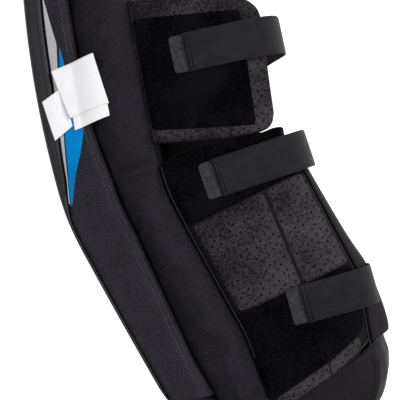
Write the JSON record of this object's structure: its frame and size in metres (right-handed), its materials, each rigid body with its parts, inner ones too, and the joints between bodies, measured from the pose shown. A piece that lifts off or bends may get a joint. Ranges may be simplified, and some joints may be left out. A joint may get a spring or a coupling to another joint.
{
  "type": "goalie leg pad",
  "caption": "Padded leg guard with a curved front, side rolls, outer and inner wings round an open leg channel, elastic straps and a boot bent forward.",
  "frame": {"origin": "under the middle of the whole pad, on the surface that its inner side lies on", "axes": "+Z from the inner side to the outer side, +Y up the leg to the thigh, +X back from the front face to the calf"},
  "size_m": [0.3936, 0.6732, 0.2535],
  "materials": {
    "nylon": "matt black woven nylon over foam",
    "smooth_nylon": "smooth black nylon, faint sheen",
    "lining": "soft matt black nylon",
    "dotted_mesh": "dark knitted mesh with small dimples",
    "loop_pile": "deep black brushed loop pile",
    "elastic": "matt woven elastic webbing",
    "hook_tape": "charcoal hook tape",
    "grey_vinyl": "light grey synthetic leather",
    "blue_vinyl": "bright blue synthetic leather",
    "white_cloth": "smooth white label cloth"
  },
  "bodies": {
    "root": {"front_face": "nylon", "core": "nylon", "boot_core": "nylon", "boot_face": "nylon", "outer_roll": "nylon", "inner_roll": "nylon", "knee_cushion": "lining", "shin_cushion": "lining", "knee_wing": "dotted_mesh", "inner_knee_wing": "lining", "calf_wing": "lining", "inner_calf_wing": "lining", "calf_gusset": "smooth_nylon", "ankle_wrap": "smooth_nylon", "knee_patch": "loop_pile", "calf_patch_upper": "loop_pile", "calf_patch_lower": "loop_pile", "calf_panel_front": "dotted_mesh", "calf_panel_back": "dotted_mesh", "calf_panel_lower": "dotted_mesh", "strap_knee": "elastic", "strap_calf": "elastic", "strap_ankle": "elastic", "hook_tab_knee": "hook_tape", "hook_tab_calf": "hook_tape", "hook_tab_ankle": "hook_tape", "grey_stripe": "grey_vinyl", "blue_stripe": "blue_vinyl", "label_left": "white_cloth", "label_under": "white_cloth", "label_upper": "white_cloth"}
  },
  "joints": []
}
